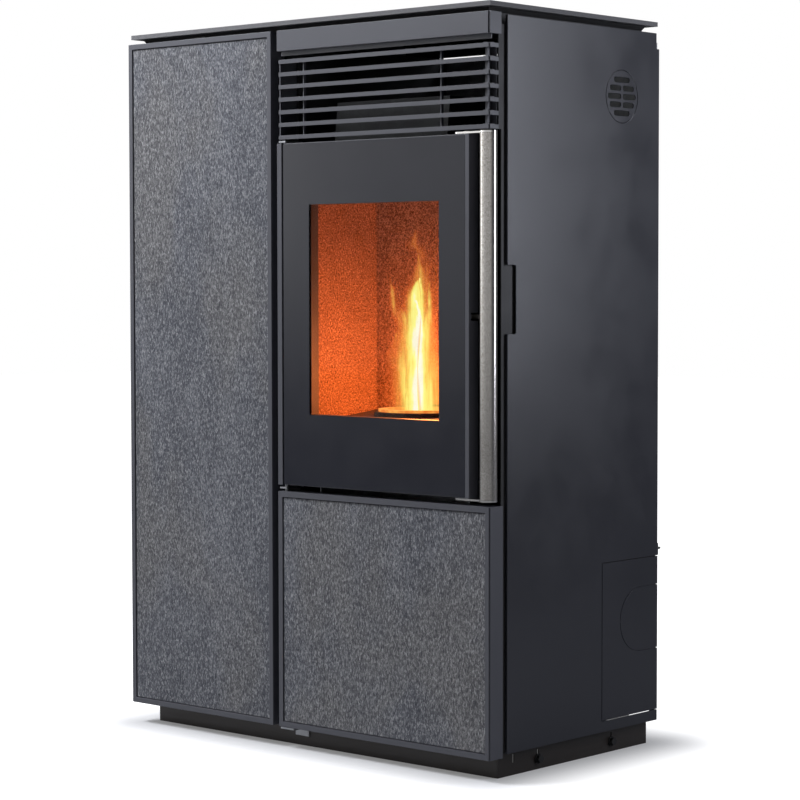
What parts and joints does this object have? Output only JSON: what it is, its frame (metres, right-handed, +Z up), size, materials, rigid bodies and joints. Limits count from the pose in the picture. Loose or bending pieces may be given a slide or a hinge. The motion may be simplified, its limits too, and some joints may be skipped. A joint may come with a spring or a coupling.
{
  "type": "pellet stove",
  "caption": "Free-standing pellet stove: glass fire door with a tube handle, lower door and tall side panel with tiles, louvered air outlet, hopper lid in a stone top.",
  "frame": {"origin": "on the floor, under the middle of the whole footprint", "axes": "+Z up, the fire door faces -Y, +X is the right-hand side seen from the front"},
  "size_m": [0.756, 0.427, 1.116],
  "materials": {
    "anthracite": "satin powder coat, anthracite",
    "frame_grey": "satin powder coat, dark grey",
    "plinth_black": "matt black with a brown cast",
    "black_sheet": "matt black, heat resistant",
    "tile": "matt stoneware, grey with fine streaks",
    "top_stone": "matt granular grey",
    "glass": "black printed, glossy",
    "steel": "brushed",
    "polished": "polished",
    "cast_iron": "rough, heat blackened",
    "galvanised": "galvanised sheet",
    "vermiculite": "pressed board, speckled",
    "rope": "woven glass rope",
    "plastic": "moulded, black",
    "ceramic": "unglazed, off white"
  },
  "bodies": {
    "stove": {"plinth": "plinth_black", "base_plate": "galvanised", "side_panel_right": "anthracite", "side_panel_left": "anthracite", "flue_cover": "anthracite", "flue_recess": "black_sheet", "back_panel": "galvanised", "centre_divider": "black_sheet", "corner_post": "black_sheet", "top_neck": "black_sheet", "top_plate": "top_stone", "lid_hinge_rod": "steel", "lid_gasket": "rope", "control_display": "glass", "tall_panel_frame": "frame_grey", "tall_panel_tile": "tile", "header_band": "frame_grey", "louver_grille": "frame_grey", "hinge_bracket_lower": "galvanised", "hinge_bracket_middle": "galvanised", "hinge_bracket_upper": "galvanised", "latch_keeper": "galvanised", "firebox_shell": "black_sheet", "vermiculite_left": "vermiculite", "vermiculite_right": "vermiculite", "vermiculite_back": "vermiculite", "baffle_plate": "vermiculite", "hearth_plate": "cast_iron", "igniter": "ceramic", "exchanger_hood": "galvanised", "drawer_housing": "galvanised", "hopper_bin": "galvanised", "hopper_grid": "galvanised", "auger_tube": "steel", "auger_gearmotor": "cast_iron", "pellet_chute": "galvanised", "smoke_fan_housing": "galvanised", "smoke_fan_motor": "cast_iron", "room_fan_housing": "galvanised", "air_intake_pipe": "galvanised", "power_inlet": "plastic", "control_board": "plastic", "room_probe": "plastic"},
    "fire_door": {"fire_door_frame": "frame_grey", "fire_door_glass": "glass", "door_gasket": "rope"},
    "door_handle": {"handle_tube": "steel", "handle_arm_lower": "polished", "handle_arm_upper": "polished", "latch_shaft": "steel"},
    "lower_door": {"lower_door_frame": "frame_grey", "lower_door_tile": "tile"},
    "ash_drawer": {"ash_drawer": "galvanised"},
    "hopper_lid": {"hopper_lid": "top_stone"},
    "burn_pot": {"burn_pot": "cast_iron"},
    "feed_screw": {"auger_screw": "steel"},
    "smoke_impeller": {"smoke_fan_impeller": "steel"},
    "room_impeller": {"room_fan_impeller": "plastic"},
    "rocker": {"power_switch": "plastic"}
  },
  "joints": [
    {"name": "fire_door_hinge", "type": "hinge", "parent": "stove", "child": "fire_door", "pos_m": [-0.036, -0.2015, 0.669], "axis": [0, 0, -1], "range_deg": [0, 100]},
    {"name": "handle_pivot", "type": "hinge", "parent": "fire_door", "child": "door_handle", "pos_m": [0.3234, -0.1985, 0.669], "axis": [0, 0, -1], "range_deg": [0, 25]},
    {"name": "lower_door_hinge", "type": "hinge", "parent": "stove", "child": "lower_door", "pos_m": [-0.036, -0.2015, 0.216], "axis": [0, 0, -1], "range_deg": [0, 100]},
    {"name": "ash_drawer_slide", "type": "slide", "parent": "stove", "child": "ash_drawer", "axis": [0, -1, 0], "range_m": [0, 0.13]},
    {"name": "hopper_lid_hinge", "type": "hinge", "parent": "stove", "child": "hopper_lid", "pos_m": [-0.205, 0.1251, 1.1126], "axis": [-1, 0, 0], "range_deg": [0, 80]},
    {"name": "burn_pot_lift", "type": "slide", "parent": "stove", "child": "burn_pot", "axis": [0, 0, 1], "range_m": [0, 0.08]},
    {"name": "feed_screw_turn", "type": "hinge", "parent": "stove", "child": "feed_screw", "pos_m": [-0.255, 0.0315, 0.455], "axis": [0.8556, 0, 0.5176], "continuous": true},
    {"name": "smoke_fan_turn", "type": "hinge", "parent": "stove", "child": "smoke_impeller", "pos_m": [0.225, 0.0165, 0.16], "axis": [0, 1, 0], "continuous": true},
    {"name": "room_fan_turn", "type": "hinge", "parent": "stove", "child": "room_impeller", "pos_m": [0.03, 0.1065, 0.15], "axis": [1, 0, 0], "continuous": true},
    {"name": "rocker_tilt", "type": "hinge", "parent": "stove", "child": "rocker", "pos_m": [-0.26, 0.1892, 0.09], "axis": [1, 0, 0], "range_deg": [0, 14]}
  ],
  "couplings": [
    {"joint": "ash_drawer_slide", "follows": "lower_door_hinge", "m_per_rad": 0.0744}
  ]
}
